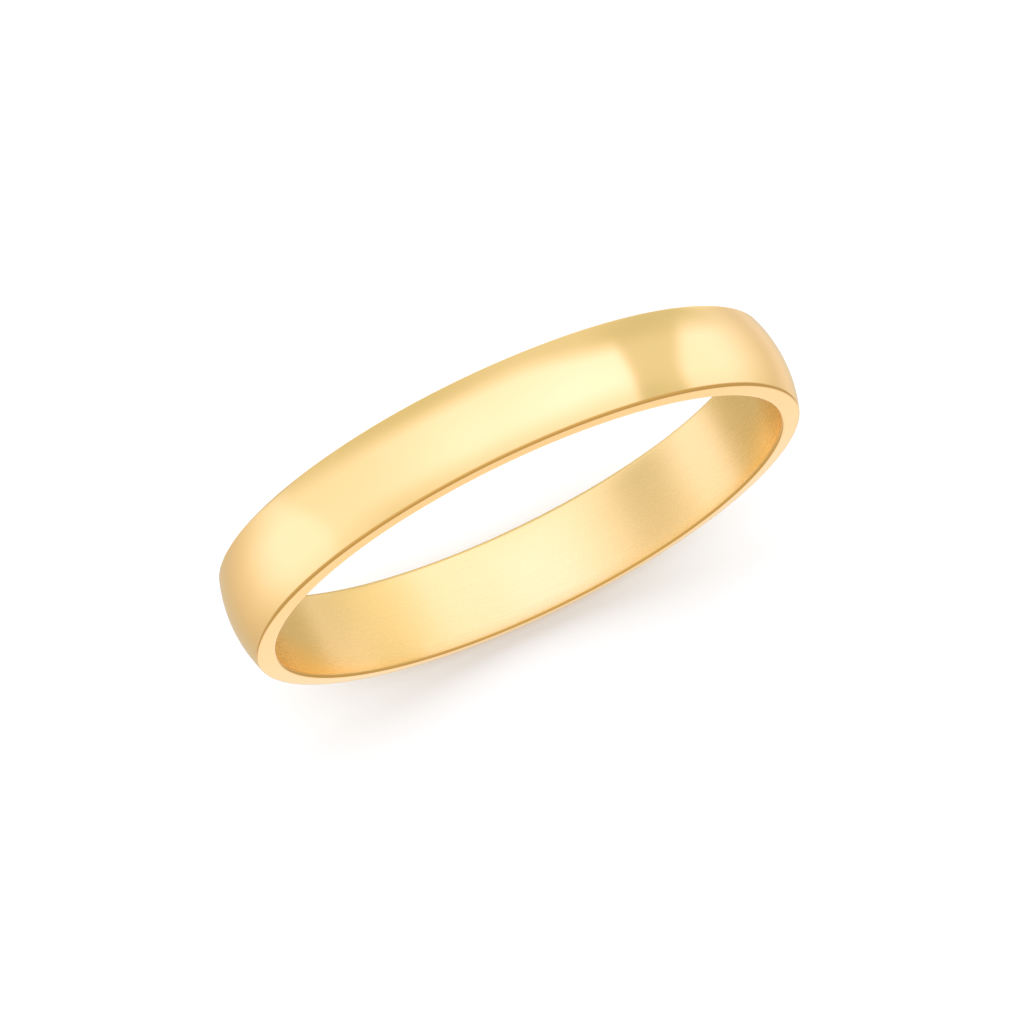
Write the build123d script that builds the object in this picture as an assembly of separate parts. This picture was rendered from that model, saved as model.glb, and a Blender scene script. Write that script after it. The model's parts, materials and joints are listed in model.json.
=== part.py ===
from build123d import *
import os
from math import radians, tan

# Plain D-section wedding band, standing on its rim.
# Frame: origin at the centre of the bore, the bore axis along Y, +Z up. Millimetres.

# Driving dimensions
bore_diameter = 17.5        # inside diameter: ring size 55, which is 55 mm round the inside
band_width = 3.0            # along the bore axis, over the rounded bore edges, where it is widest
crown_thickness = 0.9       # wall at the middle of the width
shoulder_thickness = 0.65   # wall where the dome would meet the side face in a sharp corner
side_draft = 7.0            # degrees by which a side face leans in towards the dome
outer_edge_radius = 0.17    # rounding between the dome and a side face
inner_edge_radius = 0.12    # rounding between the bore and a side face

# Values that follow from the driving dimensions
bore_radius = bore_diameter / 2
crown_radius = bore_radius + crown_thickness
shoulder_radius = bore_radius + shoulder_thickness
bore_wall_length = band_width - 2 * inner_edge_radius
inner_edge_leg = inner_edge_radius * tan(radians((90 + side_draft) / 2))
sharp_half_width = bore_wall_length / 2 + inner_edge_leg
shoulder_half_width = sharp_half_width - shoulder_thickness * tan(radians(side_draft))


def sharp_section():
    """The D section of the wall before its edges are rounded.

    X is the distance from the bore axis and Y runs along that axis.
    """
    bore_near = (bore_radius, -sharp_half_width)
    bore_far = (bore_radius, sharp_half_width)
    shoulder_near = (shoulder_radius, -shoulder_half_width)
    shoulder_far = (shoulder_radius, shoulder_half_width)
    crown = (crown_radius, 0)
    outline = [
        Line(bore_far, bore_near),
        Line(bore_near, shoulder_near),
        ThreePointArc(shoulder_near, crown, shoulder_far),
        Line(shoulder_far, bore_far),
    ]
    return make_face(outline)


def rounded_section():
    """The D section with its two bore edges and its two shoulder edges rounded."""
    section = sharp_section()
    shoulders = section.vertices().group_by(Axis.X)[-1]
    section = fillet(shoulders, outer_edge_radius)
    bore_edges = section.vertices().group_by(Axis.X)[0]
    return fillet(bore_edges, inner_edge_radius)


def make_band():
    """The whole ring: the rounded section turned once round the bore axis."""
    return revolve(rounded_section(), Axis.Y, 360)


os.makedirs("parts", exist_ok=True)
parts = {"band": make_band()}
for name, solid in parts.items():
    solid.label = name
    export_step(solid, f"parts/{name}.step")
    print(f"{name}: {solid.volume:.2f} mm3, valid {solid.is_valid}")
print(f"straight bore wall: {bore_wall_length:.3f} mm long")
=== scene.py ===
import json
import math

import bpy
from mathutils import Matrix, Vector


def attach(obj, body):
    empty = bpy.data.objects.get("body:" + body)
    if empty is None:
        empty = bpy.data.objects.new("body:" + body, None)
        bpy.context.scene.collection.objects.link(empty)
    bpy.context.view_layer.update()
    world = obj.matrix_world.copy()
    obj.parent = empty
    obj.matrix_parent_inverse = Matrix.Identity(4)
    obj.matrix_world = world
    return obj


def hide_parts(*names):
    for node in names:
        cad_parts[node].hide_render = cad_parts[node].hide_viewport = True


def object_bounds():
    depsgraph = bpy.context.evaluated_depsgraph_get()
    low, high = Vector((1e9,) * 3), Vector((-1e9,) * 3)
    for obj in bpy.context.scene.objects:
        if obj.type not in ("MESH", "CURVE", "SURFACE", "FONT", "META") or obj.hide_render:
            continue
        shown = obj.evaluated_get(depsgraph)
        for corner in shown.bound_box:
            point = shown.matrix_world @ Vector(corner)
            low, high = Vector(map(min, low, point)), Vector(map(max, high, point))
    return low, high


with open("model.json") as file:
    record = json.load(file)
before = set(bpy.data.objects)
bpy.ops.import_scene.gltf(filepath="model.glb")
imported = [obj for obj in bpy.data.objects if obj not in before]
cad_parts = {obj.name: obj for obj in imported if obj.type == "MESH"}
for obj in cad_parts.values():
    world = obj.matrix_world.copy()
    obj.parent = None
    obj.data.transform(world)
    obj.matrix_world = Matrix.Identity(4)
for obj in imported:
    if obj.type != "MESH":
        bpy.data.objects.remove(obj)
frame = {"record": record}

# %% [markdown]
# # A plain gold wedding band
# The object is one piece: a ring of D-section gold wire, flat on the inside and gently domed on the
# outside. A thing this plain lives from two things only, the exact curve of its section and what its
# polish reflects. So the lesson draws the section first, spins it once round the finger's axis, and then
# spends its effort on the finish of the gold and on the light.

MM = 0.001
cad_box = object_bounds()
print("designed ring, corners in mm:", [[round(c / MM, 3) for c in corner] for corner in cad_box])


# %% [markdown]
# ## The sizes
# The bore's radius is read from the record's mount, and the width and the crown's height from the
# designed ring's box, so the ring on show can't drift from the one that was designed. The four small
# sizes after them are the maker's choice of section, and they are the same as in the design: how thick
# the wall is at the shoulder where the dome ends, how much the side faces lean, and how far the outer and
# inner edges are rounded. Where the two corners of the section lie before rounding, and the radius of the
# dome, follow from these.

# %% Sizes, in millimetres
bore_mount = frame["record"]["mounts"][0]
bore_radius = bore_mount["dims"]["r_mm"]
band_width = (cad_box[1].y - cad_box[0].y) / MM
crown_radius = cad_box[1].z / MM
shoulder_wall = 0.65
side_draft = math.radians(7)
outer_edge_radius = 0.17
inner_edge_radius = 0.12

inner_leg = inner_edge_radius * math.tan((math.pi / 2 + side_draft) / 2)
bore_corner = (bore_radius, band_width / 2 - inner_edge_radius + inner_leg)
shoulder_corner = (bore_radius + shoulder_wall, bore_corner[1] - shoulder_wall * math.tan(side_draft))
crown_rise = crown_radius - shoulder_corner[0]
dome_radius = (shoulder_corner[1] ** 2 + crown_rise ** 2) / (2 * crown_rise)
print(f"bore {2 * bore_radius:.2f} mm, width {band_width:.2f} mm")
print(f"wall at the crown {crown_radius - bore_radius:.2f} mm")
print(f"the dome is an arc of {dome_radius:.2f} mm radius")


# %% Helpers that select by place
REACH = 0.002    # how near, in mm, a point has to be to count as lying at a place


def deselect_everything():
    """Leaves no object selected, so that an operator acts only on what is picked next."""
    bpy.ops.object.select_all(action="DESELECT")


def pick_points(thing, wanted):
    """In edit mode, selects just the vertices whose place passes the test."""
    bpy.ops.mesh.select_mode(type="VERT")
    bpy.ops.mesh.select_all(action="DESELECT")
    bpy.ops.object.mode_set(mode="OBJECT")
    for vertex in thing.data.vertices:
        vertex.select = wanted(vertex.co)
    bpy.ops.object.mode_set(mode="EDIT")


def lies_at(place, x, y):
    """True if a place in the section's plane is at x, y."""
    return math.hypot(place.x - x, place.y - y) < REACH


# %% [markdown]
# ## The section
# A goldsmith would start from D-section wire. Here its outline is drawn in the XY plane, X being the
# distance from the ring's axis and Y running along it. The dome is a true arc, so it starts as a whole
# circle whose outermost point is the crown, and three bisect cuts leave only the stretch between the two
# shoulders. It could also be a Bezier curve turned into a mesh, but the circle gives evenly spaced points
# and an exact radius. The work is done in millimetres and scaled down at the end, because Blender's bevel
# loses small edges when they are measured in metres.

# %% The dome's arc
CIRCLE_POINTS = 480
deselect_everything()
bpy.ops.mesh.primitive_circle_add(vertices=CIRCLE_POINTS, radius=dome_radius, location=(0, 0, 0))
band = bpy.context.object
band.name = "wedding_band"
band.data.name = "wedding_band"
bpy.ops.object.mode_set(mode="EDIT")
bpy.ops.mesh.select_all(action="SELECT")
bpy.ops.transform.translate(value=(crown_radius - dome_radius, 0, 0))
for side in (-1, 1):
    bpy.ops.mesh.select_all(action="SELECT")
    shoulder_cut = (0, side * shoulder_corner[1], 0)
    bpy.ops.mesh.bisect(plane_co=shoulder_cut, plane_no=(0, side, 0), clear_outer=True)
bpy.ops.mesh.select_all(action="SELECT")
bpy.ops.mesh.bisect(plane_co=(bore_radius, 0, 0), plane_no=(-1, 0, 0), clear_outer=True)
bpy.ops.object.mode_set(mode="OBJECT")
print("points on the dome's arc:", len(band.data.vertices))

# %% The side faces and the bore
bpy.ops.object.mode_set(mode="EDIT")
for side in (-1, 1):
    pick_points(band, lambda p: lies_at(p, shoulder_corner[0], side * shoulder_corner[1]))
    down_the_side = (bore_radius - shoulder_corner[0], side * (bore_corner[1] - shoulder_corner[1]), 0)
    bpy.ops.mesh.extrude_region_move(TRANSFORM_OT_translate={"value": down_the_side})
pick_points(band, lambda p: abs(p.x - bore_radius) < REACH)
bpy.ops.mesh.edge_face_add()
bpy.ops.mesh.select_all(action="SELECT")
bpy.ops.mesh.edge_face_add()
bpy.ops.object.mode_set(mode="OBJECT")
print("the section is one face with", len(band.data.polygons[0].vertices), "corners")


# %% [markdown]
# ## The rounded edges
# No ring has knife edges. The two edges that the finger slides over and the two where the dome meets the
# side faces are rounded, each with its own radius. These narrow roundings do most of the drawing in a
# picture, because each shows as one thin line that reflects another part of the room than the faces
# beside it. A vertex bevel on the section gives them before the spin, with enough steps to stay round
# close up.

# %% Round the four corners of the section
def round_corner(corner, radius, turn, steps):
    """Bevels the section's corner, on both sides of the ring, into an arc of the radius."""
    bpy.ops.object.mode_set(mode="EDIT")
    x, y = corner
    pick_points(band, lambda p: lies_at(p, x, y) or lies_at(p, x, -y))
    leg = radius * math.tan(turn / 2)
    bpy.ops.mesh.bevel(affect="VERTICES", offset_type="OFFSET", offset=leg, segments=steps, profile=0.5)
    bpy.ops.object.mode_set(mode="OBJECT")


dome_slope = math.asin(shoulder_corner[1] / dome_radius)
inner_turn = math.pi / 2 + side_draft
outer_turn = math.pi / 2 - dome_slope - side_draft
round_corner(bore_corner, inner_edge_radius, inner_turn, steps=10)
round_corner(shoulder_corner, outer_edge_radius, outer_turn, steps=8)
print("corners after rounding:", len(band.data.polygons[0].vertices))

# %% Even steps along the straight stretches
LONG_EDGE = 0.2    # mm; only the side faces and the bore have single edges longer than this
CUTS = 7
bpy.ops.object.mode_set(mode="EDIT")
bpy.ops.mesh.select_mode(type="EDGE")
bpy.ops.mesh.select_all(action="DESELECT")
bpy.ops.object.mode_set(mode="OBJECT")
for edge in band.data.edges:
    ends = [band.data.vertices[i].co for i in edge.vertices]
    edge.select = (ends[0] - ends[1]).length > LONG_EDGE
bpy.ops.object.mode_set(mode="EDIT")
bpy.ops.mesh.subdivide(number_cuts=CUTS)
bpy.ops.object.mode_set(mode="OBJECT")
print("corners with the straight stretches divided:", len(band.data.polygons[0].vertices))

# %% [markdown]
# ## The ring
# The section's face was only there to be bevelled, so it goes, and its outline is spun a full turn about
# the Y axis. 360 steps put one facet on each degree, which hides the facets even in the outline of the
# ring. The first and last outlines fall on each other and are merged, so that the skin is closed and has
# no seam.

# %% Spin the section round the finger's axis
STEPS_ROUND = 360
MERGE_REACH = 0.0005    # mm
bpy.ops.object.mode_set(mode="EDIT")
bpy.ops.mesh.select_all(action="SELECT")
bpy.ops.mesh.delete(type="ONLY_FACE")
bpy.ops.mesh.select_all(action="SELECT")
bpy.ops.mesh.spin(steps=STEPS_ROUND, angle=2 * math.pi, center=(0, 0, 0), axis=(0, 1, 0))
bpy.ops.mesh.select_all(action="SELECT")
bpy.ops.mesh.remove_doubles(threshold=MERGE_REACH)
bpy.ops.mesh.normals_make_consistent(inside=False)
bpy.ops.object.mode_set(mode="OBJECT")
print("faces in the finished ring:", len(band.data.polygons))

# %% Bring it to real size and smooth it
band.scale = (MM, MM, MM)
deselect_everything()
band.select_set(True)
bpy.ops.object.transform_apply(location=True, rotation=True, scale=True)
bpy.ops.object.shade_smooth()
print("size in mm:", [round(d / MM, 3) for d in band.dimensions])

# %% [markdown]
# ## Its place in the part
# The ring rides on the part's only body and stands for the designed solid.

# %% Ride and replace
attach(band, "root")
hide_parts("band")
print(band.name, "rides on root in place of the node band")


# %% [markdown]
# ## The gold
# 18 carat yellow gold is a mirror with a colour: it has no colour of its own under its reflections, so
# the base colour is the colour that the mirror gives them. Two finishes meet on a ring like this. The
# outside is polished on a felt wheel while the ring turns, which leaves hairlines too fine to see one by
# one, all running round the ring. The bore is left satin, from the paper that sized it, with the same
# lines a little coarser. Painting a UV map would put a seam somewhere, so the lines are made in the
# ring's own round coordinates instead, and the two finishes are told apart by how far a point lies from
# the axis. The coordinates, the lines and the slow drift of tone are three node groups, because both
# finishes use them with their own values.

# %% Helpers for building node trees
def add_node(tree, kind, **settings):
    """Adds a node of the kind to the tree and gives it its settings."""
    node = tree.nodes.new(kind)
    for name, value in settings.items():
        setattr(node, name, value)
    return node


def feed(tree, socket, value):
    """Links an output to the socket, or sets the socket to a plain value."""
    if isinstance(value, bpy.types.NodeSocket):
        tree.links.new(value, socket)
    else:
        socket.default_value = value


def calculate(tree, operation, *values):
    """A Math node on the values, which may be outputs or numbers; returns its result."""
    node = add_node(tree, "ShaderNodeMath", operation=operation)
    for socket, value in zip(node.inputs, values):
        feed(tree, socket, value)
    return node.outputs["Value"]


def soft_step(tree, value, start, end, before=0.0, after=1.0, kind="SMOOTHSTEP"):
    """A Map Range node: 'before' up to the start, 'after' past the end, and a soft change between."""
    node = add_node(tree, "ShaderNodeMapRange", interpolation_type=kind)
    feed(tree, node.inputs["Value"], value)
    feed(tree, node.inputs["From Min"], start)
    feed(tree, node.inputs["From Max"], end)
    feed(tree, node.inputs["To Min"], before)
    feed(tree, node.inputs["To Max"], after)
    return node.outputs["Result"]


def blend_values(tree, factor, first, second):
    """A Mix node on two numbers."""
    node = add_node(tree, "ShaderNodeMix", data_type="FLOAT")
    for name, setting in {"Factor": factor, "A": first, "B": second}.items():
        feed(tree, node.inputs[name], setting)
    return node.outputs["Result"]


def new_group(name, inputs, outputs):
    """Starts a shader node group; its sockets are pairs of a name and a socket type."""
    group = bpy.data.node_groups.new(name, "ShaderNodeTree")
    for socket_name, socket_type in inputs:
        group.interface.new_socket(name=socket_name, in_out="INPUT", socket_type=socket_type)
    for socket_name, socket_type in outputs:
        group.interface.new_socket(name=socket_name, in_out="OUTPUT", socket_type=socket_type)
    return group, group.nodes.new("NodeGroupInput"), group.nodes.new("NodeGroupOutput")


def use_group(tree, group, **settings):
    """Places the group in the tree; a setting's name is the socket's, with _ for a space."""
    node = add_node(tree, "ShaderNodeGroup", node_tree=group)
    for name, setting in settings.items():
        feed(tree, node.inputs[name.replace("_", " ")], setting)
    return node


# %% Group: the ring's own round coordinates
VECTOR, NUMBER, COLOUR = "NodeSocketVector", "NodeSocketFloat", "NodeSocketColor"
place_outputs = [("Radius", NUMBER), ("Unrolled", VECTOR)]
ring_place, start, end = new_group("ring_place", [("Position", VECTOR)], place_outputs)
axes = add_node(ring_place, "ShaderNodeSeparateXYZ")
feed(ring_place, axes.inputs[0], start.outputs["Position"])
squares = [calculate(ring_place, "MULTIPLY", axes.outputs[n], axes.outputs[n]) for n in "XZ"]
radius = calculate(ring_place, "SQRT", calculate(ring_place, "ADD", *squares))
along_skin = calculate(ring_place, "ADD", axes.outputs["Y"], radius)
unrolled = add_node(ring_place, "ShaderNodeCombineXYZ")
feed(ring_place, unrolled.inputs["X"], calculate(ring_place, "DIVIDE", axes.outputs["X"], radius))
feed(ring_place, unrolled.inputs["Y"], calculate(ring_place, "DIVIDE", axes.outputs["Z"], radius))
feed(ring_place, unrolled.inputs["Z"], calculate(ring_place, "DIVIDE", along_skin, MM))
feed(ring_place, end.inputs["Radius"], calculate(ring_place, "DIVIDE", radius, MM))
feed(ring_place, end.inputs["Unrolled"], unrolled.outputs[0])
print("ring_place puts out a radius in mm, and round coordinates whose third is mm across the skin")

# %% Group: hairlines that run round the ring
line_inputs = [("Unrolled", VECTOR), ("Lines per mm", NUMBER), ("Runs per turn", NUMBER)]
polish_lines, start, end = new_group("polish_lines", line_inputs, [("Lines", NUMBER)])
stretch = add_node(polish_lines, "ShaderNodeCombineXYZ")
for axis, amount in (("X", "Runs per turn"), ("Y", "Runs per turn"), ("Z", "Lines per mm")):
    feed(polish_lines, stretch.inputs[axis], start.outputs[amount])
stretched = add_node(polish_lines, "ShaderNodeVectorMath", operation="MULTIPLY")
feed(polish_lines, stretched.inputs[0], start.outputs["Unrolled"])
feed(polish_lines, stretched.inputs[1], stretch.outputs[0])
streaks = add_node(polish_lines, "ShaderNodeTexNoise", noise_dimensions="3D")
feed(polish_lines, streaks.inputs["Vector"], stretched.outputs[0])
feed(polish_lines, streaks.inputs["Scale"], 1.0)
feed(polish_lines, streaks.inputs["Detail"], 3.0)
feed(polish_lines, end.inputs["Lines"], streaks.outputs["Fac"])
print(polish_lines.name, "is built of", len(polish_lines.nodes), "nodes")

# %% Group: the slow drift of tone that hand polishing leaves
drift_inputs = [("Position", VECTOR), ("Patches per mm", NUMBER)]
drift_inputs += [("Light tone", COLOUR), ("Deep tone", COLOUR)]
tone_drift, start, end = new_group("tone_drift", drift_inputs, [("Tone", COLOUR)])
patches = add_node(tone_drift, "ShaderNodeTexNoise", noise_dimensions="3D")
feed(tone_drift, patches.inputs["Vector"], start.outputs["Position"])
patches_per_metre = calculate(tone_drift, "DIVIDE", start.outputs["Patches per mm"], MM)
feed(tone_drift, patches.inputs["Scale"], patches_per_metre)
feed(tone_drift, patches.inputs["Detail"], 2.0)
drift = soft_step(tone_drift, patches.outputs["Fac"], 0.35, 0.65)
tone = add_node(tone_drift, "ShaderNodeMix", data_type="RGBA")
feed(tone_drift, tone.inputs["Factor"], drift)
feed(tone_drift, tone.inputs[6], start.outputs["Light tone"])
feed(tone_drift, tone.inputs[7], start.outputs["Deep tone"])
feed(tone_drift, end.inputs["Tone"], tone.outputs[2])
print(tone_drift.name, "is built of", len(tone_drift.nodes), "nodes")

# %% The gold itself
POLISHED, SATIN = 0.135, 0.270      # roughness of the outside, and of the bore
SATIN_DEPTH = (0.01, 0.09)          # mm of wall over which the satin gives way to polish on the inner edges

gold = bpy.data.materials.new("polished_gold")
gold.use_nodes = True
metal = gold.node_tree
shader = metal.nodes["Principled BSDF"]
shader.inputs["Metallic"].default_value = 1.0
place = add_node(metal, "ShaderNodeTexCoord").outputs["Object"]
round_place = use_group(metal, ring_place, Position=place)
inside_edges = [bore_radius + depth for depth in SATIN_DEPTH]
satin = soft_step(metal, round_place.outputs["Radius"], *inside_edges, before=1.0, after=0.0)
outer_tones = {"Light_tone": (0.975, 0.700, 0.308, 1), "Deep_tone": (0.960, 0.682, 0.288, 1)}
bore_tones = {"Light_tone": (0.960, 0.700, 0.300, 1), "Deep_tone": (0.945, 0.682, 0.284, 1)}
outer = use_group(metal, tone_drift, Position=place, Patches_per_mm=0.18, **outer_tones)
inner = use_group(metal, tone_drift, Position=place, Patches_per_mm=0.25, **bore_tones)
base = add_node(metal, "ShaderNodeMix", data_type="RGBA")
feed(metal, base.inputs["Factor"], satin)
feed(metal, base.inputs[6], outer.outputs["Tone"])
feed(metal, base.inputs[7], inner.outputs["Tone"])
feed(metal, shader.inputs["Base Color"], base.outputs[2])

# %% Its two finishes: fine lines outside, coarser ones in the bore
FINE_VARIES, SATIN_VARIES = 0.012, 0.010    # how far the lines move each roughness up and down
FINE_SHARE = 0.25                           # depth of the outside's lines, as a share of the bore's
LINE_DEPTH = 0.00005 * MM
lines_at = round_place.outputs["Unrolled"]
fine = use_group(metal, polish_lines, Unrolled=lines_at, Lines_per_mm=22.0, Runs_per_turn=3.0)
coarse = use_group(metal, polish_lines, Unrolled=lines_at, Lines_per_mm=11.0, Runs_per_turn=5.0)
polished_range = (POLISHED - FINE_VARIES, POLISHED + FINE_VARIES)
satin_range = (SATIN - SATIN_VARIES, SATIN + SATIN_VARIES)
fine_roughness = soft_step(metal, fine.outputs["Lines"], 0.3, 0.7, *polished_range, "LINEAR")
satin_roughness = soft_step(metal, coarse.outputs["Lines"], 0.3, 0.7, *satin_range, "LINEAR")
feed(metal, shader.inputs["Roughness"], blend_values(metal, satin, fine_roughness, satin_roughness))
fine_relief = calculate(metal, "MULTIPLY", fine.outputs["Lines"], FINE_SHARE)
relief = blend_values(metal, satin, fine_relief, coarse.outputs["Lines"])
bump = add_node(metal, "ShaderNodeBump")
bump.inputs["Strength"].default_value = 1.0
bump.inputs["Distance"].default_value = LINE_DEPTH
feed(metal, bump.inputs["Height"], relief)
feed(metal, shader.inputs["Normal"], bump.outputs["Normal"])
band.data.materials.append(gold)
print("gold: roughness", POLISHED, "outside and", SATIN, "in the bore")


# %% [markdown]
# ## The floor
# Jewellery is shown on white paper or white acrylic. The floor is one plane at the ring's lowest point.
# It is hidden from the gold's reflections, because what a mirror shows has to be composed with care, and
# that is the studio's work in the next cells. It still catches the ring's soft shadow and the warm light
# that the gold throws onto it.

# %% White paper floor
FLOOR_SIZE = 3.0
floor_height = cad_box[0].z
deselect_everything()
bpy.ops.mesh.primitive_plane_add(size=FLOOR_SIZE, location=(0, 0, floor_height))
floor = bpy.context.object
floor.name = "floor"
floor.visible_glossy = False
paper = bpy.data.materials.new("white_paper")
paper.use_nodes = True
paper_shader = paper.node_tree.nodes["Principled BSDF"]
paper_shader.inputs["Base Color"].default_value = (0.9, 0.9, 0.9, 1)
paper_shader.inputs["Roughness"].default_value = 1.0
paper_shader.inputs["Specular IOR Level"].default_value = 0.0
floor.data.materials.append(paper)
print(f"floor at {floor_height / MM:.2f} mm")


# %% [markdown]
# ## The studio
# A polished ring is a picture of the room round it. This room is a white tent, painted on the world by
# direction instead of built from lamps, so that every camera sees the same one. It has a large softbox
# overhead whose right edge is crisp, a dimmer gap beside that edge, a glow all round at eye level, paler
# paper below, a dimmer wall behind, and a dark side at the front where the camera and its operator stand.
# That dark side is what draws the thin dark line along each rounded edge, and it is a little lighter
# above and to the left, so that it doesn't look flat in the wide faces that see it. The light turns
# cooler where it is strong, as a softbox beside white walls does, which keeps the brightest gold from
# going lemon yellow.
#
# Each part of the room is a soft step in one of three directions: to the right, to the back and upwards,
# each running from -1 to 1. Only reflections see this picture. The camera and the paper see plain white,
# so the ground stays clean.

# %% The world's node tree
# Blender's own light sampling would look the room up without knowing that a reflection asked, and
# would then light the gold with the plain white. It is off, and every ray finds the room by itself.
world = bpy.data.worlds.new("studio")
bpy.context.scene.world = world
world.use_nodes = True
world.cycles.sampling_method = "NONE"
sky = world.node_tree
sky.nodes.clear()
toward = add_node(sky, "ShaderNodeSeparateXYZ")
feed(sky, toward.inputs[0], add_node(sky, "ShaderNodeTexCoord").outputs["Generated"])
right, behind, above = (toward.outputs[axis] for axis in "XYZ")
behind_squared = calculate(sky, "MULTIPLY", behind, behind)
print("the room is painted by three directions: right, behind and above")

# %% Paper below and a glow at eye level
# The light grows from the paper below to the glow at eye level. To the right it grows a little later
# and is lighter all the same, except straight below. Behind the ring it is a little dimmer.
GLOW, FAR_PAPER = 1.30, 0.62
paper_height = calculate(sky, "SUBTRACT", above, soft_step(sky, right, 0.2, 0.8, 0.0, 0.06))
level_light = soft_step(sky, paper_height, -1.0, -0.14, FAR_PAPER, GLOW)
right_paper = soft_step(sky, right, 0.1, 0.6, 0.0, 0.18)
right_paper = calculate(sky, "MULTIPLY", right_paper, soft_step(sky, above, -0.85, -0.65, 1.0, 0.0))
level_light = calculate(sky, "ADD", level_light, right_paper)
level_light = calculate(sky, "MULTIPLY", level_light, soft_step(sky, behind, 0.3, 0.6, 1.0, 0.9))
print("the tent glows", GLOW, "at eye level and", FAR_PAPER, "on the far paper")

# %% The softbox overhead, with a gap to the right of it
# The softbox's light grows to the right. Its right edge and its lower edge bend with the square of how
# far behind or in front they lie: the gap is wider there, and the softbox comes down lower.
GAP_LIGHT = 0.89
box_light = soft_step(sky, right, -0.95, -0.2, 1.16, 1.35)
box_light = calculate(sky, "ADD", box_light, soft_step(sky, right, -0.2, 0.7, 0.0, 0.10))
box_light = calculate(sky, "MULTIPLY", box_light, soft_step(sky, behind, 0.0, 0.6, 1.0, 0.94))
box_edge = calculate(sky, "MULTIPLY_ADD", behind_squared, 0.28, right)
upper_light = blend_values(sky, soft_step(sky, box_edge, 0.80, 0.84), box_light, GAP_LIGHT)
glow_edge = calculate(sky, "MULTIPLY_ADD", behind_squared, 1.2, above)
tent_light = blend_values(sky, soft_step(sky, glow_edge, 0.16, 0.30), level_light, upper_light)
print("the gap beside the softbox glows", GAP_LIGHT)

# %% A dimmer back wall
# It is lighter from the middle to the right and dims again at the far right, where it also comes
# further round and lower down.
BACK_LIGHT = 0.80
back_light = calculate(sky, "ADD", soft_step(sky, right, -0.3, 0.35, 0.0, 0.10), BACK_LIGHT)
back_light = calculate(sky, "ADD", back_light, soft_step(sky, right, 0.55, 0.8, 0.0, -0.15))
back_turn = calculate(sky, "ADD", behind, soft_step(sky, right, 0.2, 0.8, 0.0, 0.14))
back_foot = calculate(sky, "ADD", above, soft_step(sky, right, -0.3, 0.5, 0.0, 0.25))
back_wall = soft_step(sky, back_turn, 0.48, 0.76)
back_wall = calculate(sky, "MULTIPLY", back_wall, soft_step(sky, back_foot, -0.35, -0.05))
room_light = blend_values(sky, back_wall, tent_light, back_light)
print("the back wall glows", BACK_LIGHT)

# %% The paper just in front of the ring
NEAR_PAPER = 1.07
near_paper = soft_step(sky, above, -0.74, -0.86)
near_paper = calculate(sky, "MULTIPLY", near_paper, soft_step(sky, behind, 0.05, -0.12))
room_light = blend_values(sky, near_paper, room_light, NEAR_PAPER)
print("the paper in front of the ring glows", NEAR_PAPER)

# %% The tent dims towards the front
# The border of the front leans: low down it runs nearly beside the ring, and high up further forward.
# High up it starts with a wide soft dimming, which shades the near edge of the dome.
lifted = calculate(sky, "MAXIMUM", above, -0.5)
front_tilt = calculate(sky, "MULTIPLY_ADD", lifted, 0.24, behind)
front_tilt = calculate(sky, "MULTIPLY_ADD", right, -0.03, front_tilt)
near_front = soft_step(sky, front_tilt, -0.2, 0.05, 0.92, 1.0)
room_light = calculate(sky, "MULTIPLY", room_light, near_front)
upper_front = soft_step(sky, front_tilt, 0.22, -0.1)
upper_front = calculate(sky, "MULTIPLY", upper_front, soft_step(sky, above, 0.2, 0.7))
upper_dimming = soft_step(sky, upper_front, 0.0, 1.0, 1.0, 0.86, "LINEAR")
room_light = calculate(sky, "MULTIPLY", room_light, upper_dimming)
print("the light dims towards the front in two soft steps")

# %% The dark front, where the camera stands
DARK_FRONT = (0.56, 0.44, 0.275)
SIDE_FACE_LOOKS = 0.12    # the near side face looks down this far to the right, and has to see paper
beside = calculate(sky, "SUBTRACT", right, SIDE_FACE_LOOKS)
beside_squared = calculate(sky, "MULTIPLY", beside, beside)
front_foot = calculate(sky, "MULTIPLY_ADD", beside_squared, 1.5, above)
front_side = soft_step(sky, front_tilt, -0.20, -0.25)
front_side = calculate(sky, "MULTIPLY", front_side, soft_step(sky, front_foot, -0.86, -0.80))
front_shade = soft_step(sky, above, -0.7, 0.7, 0.94, 1.28, "LINEAR")
left_shade = soft_step(sky, right, -0.8, 0.8, 1.08, 1.0, "LINEAR")
front_colour = add_node(sky, "ShaderNodeVectorMath", operation="SCALE")
feed(sky, front_colour.inputs[0], DARK_FRONT)
feed(sky, front_colour.inputs["Scale"], calculate(sky, "MULTIPLY", front_shade, left_shade))
print("the dark front's colour is", DARK_FRONT)

# %% The tent's colour: cooler where it is bright, warmer low down
blueness = soft_step(sky, room_light, 0.80, 1.45, 0.88, 1.44, "LINEAR")
blueness = calculate(sky, "MULTIPLY", blueness, soft_step(sky, above, -0.9, -0.7, 0.89, 1.0))
redness = soft_step(sky, above, -0.85, -0.35, 1.14, 1.0)
room_colour = add_node(sky, "ShaderNodeCombineColor")
feed(sky, room_colour.inputs["Red"], calculate(sky, "MULTIPLY", room_light, redness))
feed(sky, room_colour.inputs["Green"], room_light)
feed(sky, room_colour.inputs["Blue"], calculate(sky, "MULTIPLY", room_light, blueness))
reflected = add_node(sky, "ShaderNodeMix", data_type="RGBA")
feed(sky, reflected.inputs["Factor"], front_side)
feed(sky, reflected.inputs[6], room_colour.outputs["Color"])
feed(sky, reflected.inputs[7], front_colour.outputs[0])
print("the room that reflections see is finished, with", len(sky.nodes), "nodes so far")

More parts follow.
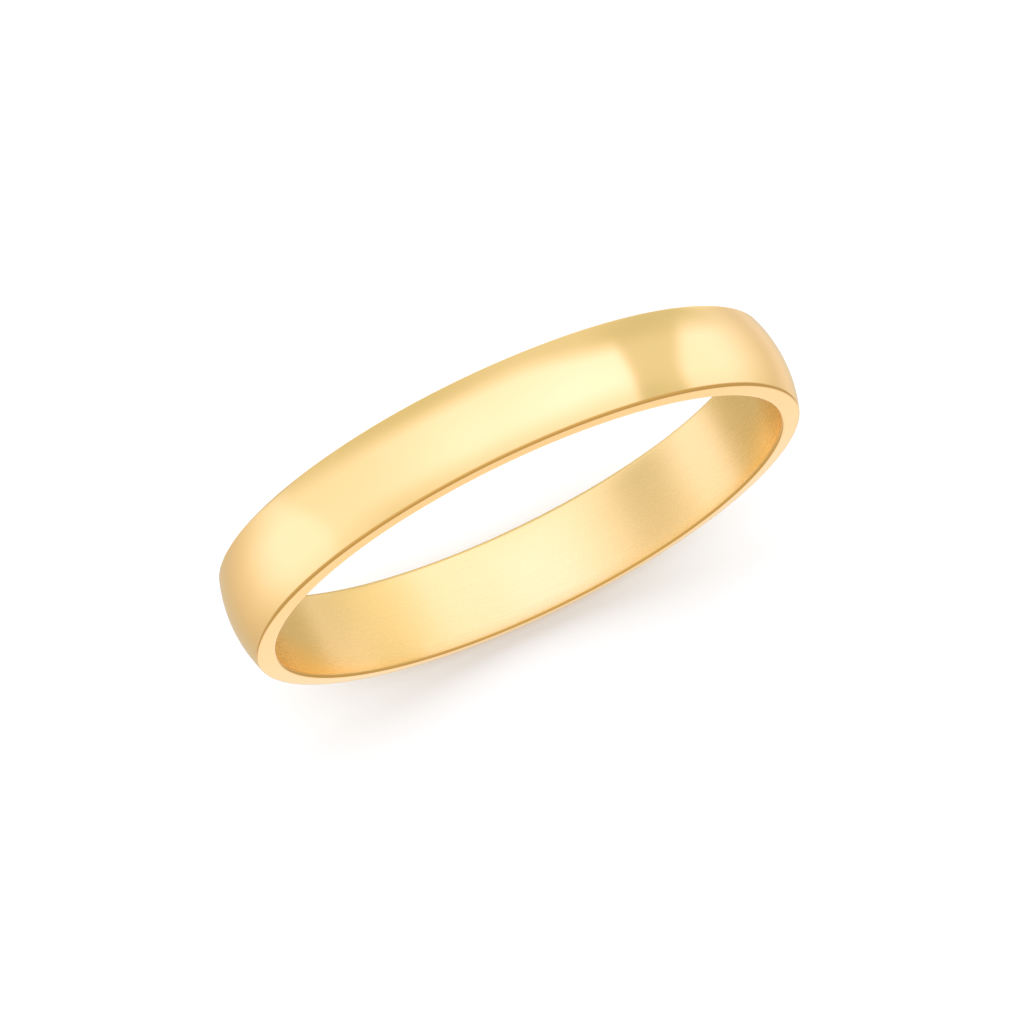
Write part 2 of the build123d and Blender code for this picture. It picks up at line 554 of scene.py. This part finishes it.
# %% Plain white for everything but reflections
FRONT_WHITE, BACK_WHITE = 1.05, 1.67    # stronger from behind, so the ring's soft shadow falls in front
white = soft_step(sky, behind, -0.7, 0.7, FRONT_WHITE, BACK_WHITE)
white_colour = add_node(sky, "ShaderNodeCombineColor")
for channel, share in (("Red", 0.98), ("Green", 1.0), ("Blue", 1.03)):
    feed(sky, white_colour.inputs[channel], calculate(sky, "MULTIPLY", white, share))
plain = add_node(sky, "ShaderNodeMix", data_type="RGBA")
feed(sky, plain.inputs["Factor"], add_node(sky, "ShaderNodeLightPath").outputs["Is Glossy Ray"])
feed(sky, plain.inputs[6], white_colour.outputs["Color"])
feed(sky, plain.inputs[7], reflected.outputs[2])
background = add_node(sky, "ShaderNodeBackground")
feed(sky, background.inputs["Color"], plain.outputs[2])
feed(sky, add_node(sky, "ShaderNodeOutputWorld").inputs["Surface"], background.outputs[0])
print("the camera and the paper see white, from", FRONT_WHITE, "in front to", BACK_WHITE, "behind")


# %% [markdown]
# ## Four cards
# The bore is a hollow mirror, and it looks at places in the room that the dome never sees: just behind
# the ring, at its foot and over its top. Four cards there tune the bore alone. The first is painted
# shade: a warm, dim card lies on the floor behind the ring, where the paper is in the ring's shade, and
# stands in for that shadow, which the hidden floor can't show in reflections. It gives the ends of the
# bore their deeper gold. As bits of paper do in a real studio, a dim card at the left makes the dim
# stretch beside the bore's brightest one, a card at the right keeps the other side light, and a bright,
# cool card over the back of the ring whitens the middle. They fade out at their edges, so none shows a
# border, and they are seen only in reflections.

# %% Cards that only reflections see
FOOT_REACH = 0.7    # how much of a card's height its dimmer foot fades out over


def reflection_card(name, colour, places, fade, foot_share=1.0):
    """A card at four places, in mm, soft at its edges; its foot glows with only a share of the colour."""
    deselect_everything()
    bpy.ops.mesh.primitive_plane_add(size=1, location=(0, 0, 0))
    card = bpy.context.object
    card.name = name
    for vertex, corner in zip(card.data.vertices, places):
        vertex.co = Vector(corner) * MM
    card.visible_camera = card.visible_diffuse = card.visible_shadow = False
    finish = bpy.data.materials.new(name)
    finish.use_nodes = True
    tree = finish.node_tree
    tree.nodes.clear()
    edges = add_node(tree, "ShaderNodeSeparateXYZ")
    feed(tree, edges.inputs[0], add_node(tree, "ShaderNodeTexCoord").outputs["UV"])
    cover = 1.0
    for axis in "XY":
        cover = calculate(tree, "MULTIPLY", cover, soft_step(tree, edges.outputs[axis], 0.0, fade))
        cover = calculate(tree, "MULTIPLY", cover, soft_step(tree, edges.outputs[axis], 1.0, 1.0 - fade))
    glow = add_node(tree, "ShaderNodeEmission")
    feed(tree, glow.inputs["Color"], colour)
    strength = soft_step(tree, edges.outputs["Y"], 0.0, FOOT_REACH, foot_share, 1.0)
    feed(tree, glow.inputs["Strength"], strength)
    soft = add_node(tree, "ShaderNodeMixShader")
    feed(tree, soft.inputs["Fac"], cover)
    feed(tree, soft.inputs[1], add_node(tree, "ShaderNodeBsdfTransparent").outputs[0])
    feed(tree, soft.inputs[2], glow.outputs[0])
    feed(tree, add_node(tree, "ShaderNodeOutputMaterial").inputs["Surface"], soft.outputs[0])
    card.data.materials.append(finish)


# %% Places and colours of the cards
foot = floor_height / MM
# The shade card is painted shade: a dim sheet that stands in for the ring's own shadow on the paper behind
# it.
shade_corners = [(x, y, foot) for y in (0.3, 8.0) for x in (-8.5, 9.5)]
reflection_card("shade_under_ring", (0.65, 0.60, 0.465, 1), shade_corners, fade=0.2)
left_corners = [(-10.0, y, z) for z in (-4.0, 7.0) for y in (2.9, 8.5)]
reflection_card("left_card", (0.62, 0.60, 0.55, 1), left_corners, fade=0.3)
right_corners = [(10.0, y, z) for z in (foot - 1, 6.0) for y in (2.9, 8.0)]
reflection_card("right_card", (1.15, 1.12, 1.02, 1), right_corners, fade=0.2, foot_share=0.62)
top_corners = [(x, y, 8.0) for y in (1.7, 6.5) for x in (-7.5, 5.5)]
reflection_card("top_card", (1.3, 1.6, 2.6, 1), top_corners, fade=0.35)
print("four cards lie, stand and hang by the ring")


# %% [markdown]
# ## The camera
# A ring this small is shown from some way off through a long lens, so that its near and far sides
# keep nearly the same width. The camera looks down at the standing ring from the front and a little to
# the left. The lens and the width of the frame at the ring set the distance.

# %% Camera
azimuth, elevation = math.radians(-25.0), math.radians(72.5)
lens, frame_width = 585, 32.18 * MM
aim_in_view = (0.07 * MM, -0.485 * MM, 0)
level = Vector((math.sin(azimuth), -math.cos(azimuth), 0)) * math.cos(elevation)
back = level + Vector((0, 0, math.sin(elevation)))
turn = (-back).to_track_quat("-Z", "Y")
camera_data = bpy.data.cameras.new("camera")
camera = bpy.data.objects.new("camera", camera_data)
bpy.context.scene.collection.objects.link(camera)
camera_data.lens = lens
camera_data.clip_start = 0.05
camera_data.clip_end = 5
camera.rotation_mode = "QUATERNION"
camera.rotation_quaternion = turn
distance = frame_width * lens / camera_data.sensor_width
camera.location = turn @ Vector(aim_in_view) + back * distance
bpy.context.scene.camera = camera
bpy.context.scene.view_settings.view_transform = "Standard"    # white paper stays white
print(f"camera {distance:.3f} m from the ring")
